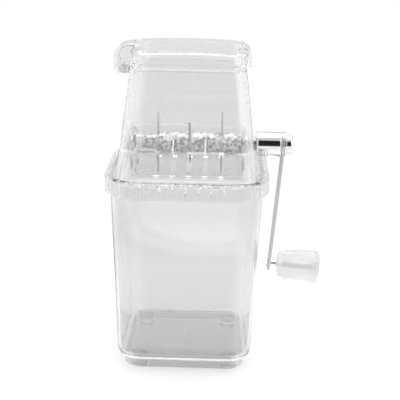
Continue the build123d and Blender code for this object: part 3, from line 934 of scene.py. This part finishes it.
@dataclass
class Trough:
    """Trough under the blades, with its funnel, the bearing lugs and the slotted floor."""

    size: Section = Section(87.94, 77.1, 6.0)
    rim: Section = Section(96.78, 95.43, 8.0)
    bottom: float = 157.3
    floor: float = 2.2
    wall: float = 2.0
    mouth: float = 178.3
    rim_height: float = 181.5
    slots: tuple[float, ...] = (-24.2, -11.6, 1.0, 13.6, 26.2)
    slot_width: float = 3.6
    slot_length: float = 43.0
    lug_radius: float = 9.0
    boss_clearance: float = 16.54
    nut_clearance: float = 14.94

    def build(self) -> None:
        """Build the trough."""
        inside, top, edge = self.bottom + self.floor, self.rim_height, 0.25
        loft = RingLoft(self.size.at(12.0, inside))
        loft.cap(loft.first)
        loft.follow(lambda _: self.size, eased([
            (12.0, inside, 0), (self.wall, inside, 2.0), (self.wall, self.mouth, 0)])[1:])
        loft.follow(lambda _: self.rim, ((edge, top), (0.0, top - edge), (0.0, top - self.wall)))
        loft.follow(lambda _: self.size, eased([
            (0, self.mouth - self.wall, 0), (0, self.bottom, 1.2), (12.0, self.bottom, 0)]))
        loft.cap(loft.ring)
        out = self.size.width / 2
        lugs = [disc(low, low + self.wall, 2 * self.lug_radius, 0.3)
                for low in (-out, out - self.wall)]
        wide, long = self.slot_width / 2, self.slot_length / 2
        slots = [block((x - wide, -long, self.bottom - 1), (x + wide, long, inside + 1))
                 for x in self.slots]
        beside = [rod(-53.0, -out - 0.02, self.boss_clearance),
                  rod(out + 0.02, 53.0, self.nut_clearance)]
        Piece("trough_shell", "upper", "clear_acrylic", Finish.TROUGH, ("crusher_trough",)).make(
            welded(loft.bm), [together(lugs)],
            [together(slots), together(beside), rod(-50.0, 50.0, BUSH_BORE)])


# ---------------------------------------------------------------- shaft, blades and crank
@dataclass
class BladeRow:
    """Shaft collar, sleeves and blades inside the hopper, and the bearings at its walls."""

    pitch: float = 12.6
    middle: float = 1.0
    thick: float = 1.8
    radius: float = 26.0
    sleeve: float = 16.4
    row_end: float = 41.67
    collar_length: float = 5.3
    collar: float = 12.2
    left_bush: tuple[float, float] = (-46.97, -41.97)
    right_bush: tuple[float, float] = (41.97, 53.27)
    ring_nut: float = 14.34
    angles: tuple[float, ...] = (5.0, 95.0, 40.0, 95.0, 5.0)

    def left(self, index: int) -> float:
        """Left face of a blade."""
        return self.middle + (index - 2) * self.pitch - self.thick / 2

    def build(self) -> None:
        """Build the row."""
        Piece("collar_turned", "crank", "chrome_plate", Finish.CHROME, ("shaft_collar",)).make(
            tube(-self.row_end, self.collar_length - self.row_end, self.collar, SHAFT_BORE, 0.4))
        for index in range(4):
            self._sleeve(f"spacer_{index + 1}", self.left(index) + self.thick, self.left(index + 1))
        self._sleeve("right_sleeve", self.left(4) + self.thick, self.row_end)
        self._left_sleeve()
        for index, angle in enumerate(self.angles):
            self._blade(index, angle)
        for name, ends in (("left_bush", self.left_bush), ("right_bush", self.right_bush)):
            Piece(f"{name}_turned", "upper", "bush_steel", Finish.STEEL, (name,)).make(
                tube(*ends, BUSH_OUTER, SHAFT_BORE, 0.3))
        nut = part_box("bearing_nut")
        Piece("ring_nut_turned", "upper", "chrome_plate", Finish.CHROME, ("bearing_nut",)).make(
            tube(nut[0][0] / MM, nut[1][0] / MM, self.ring_nut, BUSH_BORE, 0.3))

    def _sleeve(self, name: str, low: float, high: float) -> None:
        """A cast sleeve with a low rim and a groove at each end."""
        bore, body, rim = SHAFT_BORE / 2, self.sleeve / 2, self.sleeve / 2 + 0.4
        start, end = low + 1.3, high - 1.3
        outline = [(low, bore, 0), (low, rim, 0.3), (start, rim, 0.3), (start, body, 0.1),
                   (end, body, 0.1), (end, rim, 0.3), (high, rim, 0.3), (high, bore, 0)]
        Piece(f"{name}_cast", "crank", "arm_steel", Finish.SLEEVE, (name,)).make(turned(outline))

    def _left_sleeve(self) -> None:
        """The thinner sleeve between the collar and the first blade."""
        low, high = (corner[0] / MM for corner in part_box("left_sleeve"))
        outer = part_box("left_sleeve")[1][1] / MM
        Piece("left_sleeve_cast", "crank", "arm_steel", Finish.SLEEVE, ("left_sleeve",)).make(
            tube(low, high, 2 * outer, SHAFT_BORE, 0.3))

    def _blade(self, index: int, angle: float) -> None:
        """A blade: its hub and two hooked points with ground edges, turned on the shaft."""
        low, high = self.left(index), self.left(index) + self.thick
        root, tip = self.sleeve / 2 * 0.55, self.radius * 0.998
        hook = [(root, 0), (root, tip * 0.25), (tip * 0.13, tip * 0.62), (tip * 0.04, tip),
                (-tip * 0.03, tip * 0.98), (-tip * 0.11, tip * 0.76), (-tip * 0.05, tip * 0.66),
                (-root, tip * 0.42), (-root, 0)]
        points = []
        for turn in (0.0, 180.0):
            point = plate(hook, low + 0.03, high - 0.03, 0.45)
            place = (ON_SHAFT @ Matrix.Rotation(math.radians(angle + turn), 4, "X")
                     @ Matrix.Rotation(-math.pi / 2, 4, "Z"))
            bmesh.ops.transform(point, matrix=place, verts=point.verts[:])
            points.append(point)
        hub = disc(low, high, self.sleeve + 1.0, 0.25)
        bore = rod(low - 1, high + 1, SHAFT_BORE)
        Piece(f"blade_{index + 1}_ground", "crank", "blade_steel", Finish.BLADE,
              (f"blade_{index + 1}",)).make(hub, points, [bore])


@dataclass
class Crank:
    """Drum, arm, disc and cap nut on the end of the shaft, and the knob's pin."""

    drum_start: float = 53.565
    arm_start: float = 73.565
    disc_start: float = 75.765
    cap_start: float = 77.365
    cap_end: float = 82.165
    eye: float = 20.2

    def build(self) -> None:
        """Build the crank."""
        start, end, bore = self.drum_start, self.arm_start, SHAFT_BORE / 2
        drum = [(start, bore, 0), (start, 9.4, 0.2), (54.1, 10.0, 0.25), (54.6, 9.86, 0.2),
                (55.1, 10.0, 0.2), (72.1, 10.0, 0.2), (72.5, 9.86, 0.2), (72.9, 10.0, 0.2),
                (end, 9.5, 0.2), (end, bore, 0)]
        start, end, bore = self.cap_start, self.cap_end, STUD_BORE / 2
        cap = [(start, bore, 0), (start, 8.15, 0.3), (end, 8.15, 1.6), (end, 2.4, 0.5),
               (81.7, 1.8, 0.2), (81.7, 0, 0), (81.0, 0, 0), (81.0, bore, 0)]
        washer = tube(self.disc_start, self.cap_start, self.eye, STUD_BORE, 0.35)
        for name, node, form in (("drum_turned", "crank_drum", turned(drum, steps=96)),
                                 ("disc_turned", "arm_washer", washer),
                                 ("cap_nut_turned", "arm_nut", turned(cap, steps=96))):
            Piece(name, "crank", "chrome_plate", Finish.CHROME, (node,)).make(form)
        self._arm()
        self._pin()

    def _arm(self) -> None:
        """The flat arm: its round eye, the strip and the rounded tip."""
        eye = disc(self.arm_start, self.disc_start, self.eye, 0.35)
        neck = block((73.62, -5.93, 164.0), (75.71, 5.93, 172.0), 0.3)
        strip = block((-1.1, -6.0, -ARM_LENGTH), (1.1, 6.0, 0.3), 0.3)
        bmesh.ops.transform(strip, matrix=ARM_FRAME, verts=strip.verts[:])
        tip = disc(-1.07, 1.07, 11.9, 0.3, PIN_FRAME)
        Piece("arm_strip", "crank", "arm_steel", Finish.ARM, ("crank_arm",)).make(
            eye, [neck, strip, tip],
            [rod(-3.0, 3.0, PIN_BORE, PIN_FRAME), rod(70.0, 80.0, STUD_BORE)])

    def _pin(self) -> None:
        """The knob's pin: its polished head and neck, then the matt shank inside the knob."""
        Piece("pin_neck", "crank", "chrome_plate", Finish.CHROME, ("knob_pin",)).make(
            turned([(-2.0, 0, 0), (-2.0, 3.1, 0.7), (-1.1, 3.7, 0.2), (-1.1, 2.3, 0),
                    (6.4, 2.3, 0.1), (6.4, 0, 0)], PIN_FRAME))
        Piece("pin_shank", "crank", "chrome_plate", Finish.PIN).make(
            turned([(6.4, 0, 0), (6.4, 2.28, 0.1), (34.5, 2.28, 0), (34.5, 4.5, 0.4),
                    (37.1, 4.5, 0.4), (37.1, 0, 0)], PIN_FRAME))


@dataclass
class Knob:
    """Clear knob, bored for its pin, with the closed seam of the cap in its outer end."""

    start: float = 5.9
    end: float = 40.5
    cap_start: float = 38.1

    def build(self) -> None:
        """Build the knob."""
        outline = [
            (self.start, 2.35, 0.3), (self.start, 6.4, 1.2), (7.0, 8.6, 2.0), (9.5, 11.2, 4.0),
            (14.5, 12.32, 8.0), (self.end, 13.9, 3.0), (self.end, 9.75, 0.1),
            (self.end - 0.35, 9.55, 0.1), (self.end, 9.35, 0.1), (self.end, 0, 0),
            (self.cap_start, 0, 0), (self.cap_start, 4.8, 0.4), (34.2, 4.8, 0.4), (34.2, 2.35, 0)]
        Piece("knob_clear", "knob", "clear_acrylic", Finish.KNOB, ("crank_knob", "knob_cap")).make(
            turned(outline, PIN_FRAME, 96))


@dataclass
class Feet:
    """Four soft feet inside the base ring."""

    x_apart: float = 72.0
    y_apart: float = 74.0
    radius: float = 6.25
    height: float = 9.42

    def build(self) -> None:
        """Build the feet as one piece."""
        outline = [(0, 0, 0), (0, 4.0, 0.3), (0.4, 4.6, 0.3), (0, 5.2, 0.3), (0, self.radius, 1.1),
                   (self.height, self.radius, 0.3), (self.height, 0, 0)]
        x, y = self.x_apart / 2 * MM, self.y_apart / 2 * MM
        feet = [turned(outline, Matrix.Translation((*place, 0.0)) @ UPRIGHT, 48)
                for place in ((-x, -y), (-x, y), (x, -y), (x, y))]
        Piece("feet_moulded", "bin", "foot_rubber", Finish.FEET, ("bin_feet",)).make(
            together(feet))


# ---------------------------------------------------------------- studio
@dataclass
class Studio:
    """Pale floor, white surroundings, soft lamps and the camera."""

    floor_half: float = 3000.0
    camera_place: tuple[float, float, float] = (21.79, -735.15, 358.34)
    camera_turn: float = 0.92
    camera_pitch: float = 17.32
    camera_roll: float = 1.20
    focal_share: float = 950.71 / 400.0
    sensor: float = 36.0
    lamps: tuple[tuple[str, tuple, tuple, float, float], ...] = (
        ("overhead", (0.0, 250.0, 900.0), (0.0, 0.0, 120.0), 900.0, 3.6),
        ("left_panel", (-800.0, -250.0, 520.0), (0.0, 0.0, 140.0), 800.0, 1.8),
        ("right_panel", (820.0, -200.0, 520.0), (0.0, 0.0, 140.0), 800.0, 1.8),
    )
    front_wall: tuple[tuple[float, float], ...] = (
        (0.0, 0.1), (0.2, 0.03), (0.7, 0.03), (0.8, 1.0))
    room_light: float = 0.7
    floor_glow: float = 0.3
    floor_near: float = 180.0
    bounces: int = 40

    def build(self) -> None:
        """Build everything round the object."""
        self._light_paths()
        self._world()
        self._floor()
        for lamp in self.lamps:
            self._lamp(*lamp)
        self._camera()

    def _light_paths(self) -> None:
        """Let light find its way out of the nested clear walls."""
        cycles = bpy.context.scene.cycles
        cycles.max_bounces = cycles.transmission_bounces = self.bounces
        cycles.glossy_bounces = cycles.transparent_max_bounces = self.bounces

    def _world(self) -> None:
        """White to the camera and through the plastic, a dark strip in front for the chrome."""
        world = bpy.data.worlds.new("surroundings")
        bpy.context.scene.world = world
        graph = Graph(world)
        place = graph.add("ShaderNodeTexCoord", output="Generated")
        side, depth, height = (graph.add("ShaderNodeSeparateXYZ", {0: place}, output=axis)
                               for axis in "XYZ")
        front = graph.add("ShaderNodeValToRGB", {0: height}, stops=self.front_wall)
        aside = (side * side * 18.0 - 1.6).clamped()
        behind = (depth * 6.0 + 1.5).clamped()
        shown = graph.mix((aside + behind).clamped(), front, WHITE)
        through = graph.add("ShaderNodeLightPath", output="Transmission Depth").clamped()
        shown = graph.mix(through, shown, WHITE)
        light = graph.add("ShaderNodeBackground", {"Color": shown, "Strength": self.room_light})
        white = graph.add("ShaderNodeBackground", {"Color": WHITE, "Strength": 1.0})
        mixed = graph.add("ShaderNodeMixShader", {
            0: graph.rays("Camera", "Transmission"), 1: light, 2: white})
        graph.node("ShaderNodeOutputWorld", {"Surface": mixed})

    def _floor(self) -> None:
        """A floor that is white to the camera but keeps a soft shadow."""
        bm = bmesh.new()
        bmesh.ops.create_grid(bm, x_segments=4, y_segments=4, size=self.floor_half * MM)
        floor = as_object(bm, "floor")
        material = bpy.data.materials.new("floor")
        graph = Graph(material)
        matt = graph.add("ShaderNodeBsdfDiffuse", {"Color": (0.8, 0.8, 0.8, 1.0)})
        glow = graph.add("ShaderNodeEmission", {"Strength": self.floor_glow})
        white = graph.add("ShaderNodeEmission", {"Strength": 1.0})
        near = graph.add("ShaderNodeAddShader", {0: matt, 1: glow})
        far = (((graph.object_axis("X") ** 2.0 + graph.object_axis("Y") ** 2.0) ** 0.5
                - self.floor_near * MM) / (self.floor_near * MM)).clamped()
        both = graph.add("ShaderNodeMixShader", {0: far, 1: near, 2: white})
        graph.surface(graph.add("ShaderNodeMixShader", {
            0: graph.rays("Camera", "Glossy", "Transmission"), 1: matt, 2: both}))
        floor.data.materials.append(material)

    @staticmethod
    def _lamp(name: str, place: Sequence[float], aim: Sequence[float], size: float,
              power: float) -> None:
        """Add one square soft lamp.

        Args:
            name: The lamp's name.
            place: Where it is, in mm.
            aim: What it points at, in mm.
            size: Its side, in mm.
            power: Its power, in watts.
        """
        data = bpy.data.lights.new(name, "AREA")
        data.size = size * MM
        data.energy = power
        lamp = linked(name, data)
        lamp.location = Vector(place) * MM
        lamp.rotation_mode = "QUATERNION"
        lamp.rotation_quaternion = (Vector(aim) - Vector(place)).to_track_quat("-Z", "Y")

    def _camera(self) -> None:
        """The camera, where the photograph's stood."""
        turn, pitch, roll = (math.radians(angle) for angle in (
            self.camera_turn, self.camera_pitch, self.camera_roll))
        back = Vector((math.sin(turn) * math.cos(pitch), -math.cos(turn) * math.cos(pitch),
                       math.sin(pitch)))
        right = Vector((math.cos(turn), math.sin(turn), 0.0))
        up = back.cross(right)
        tilted = (right * math.cos(roll) + up * math.sin(roll),
                  up * math.cos(roll) - right * math.sin(roll), back)
        data = bpy.data.cameras.new("camera")
        data.sensor_width = self.sensor
        data.lens = self.focal_share * self.sensor
        camera = linked("camera", data)
        camera.matrix_world = (Matrix.Translation(Vector(self.camera_place) * MM)
                               @ Matrix(tilted).transposed().to_4x4())
        bpy.context.scene.camera = camera


def main() -> None:
    """Build the looks round the frame."""
    logging.basicConfig(level=logging.INFO, format="%(name)s: %(message)s")
    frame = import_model()
    Finish.STEEL.dress(frame["nodes"]["crank_shaft"])
    LOG.info("dressed crank_shaft as %s", Finish.STEEL.name)
    housing = Housing()
    for assembly in (Bin(), Feet(), housing, Lid(housing), Trough(), BladeRow(), Crank(), Knob()):
        assembly.build()
    Studio().build()
    scene = bpy.context.scene
    scene.view_settings.view_transform = "Standard"
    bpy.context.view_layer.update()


if __name__ == "__main__":
    main()
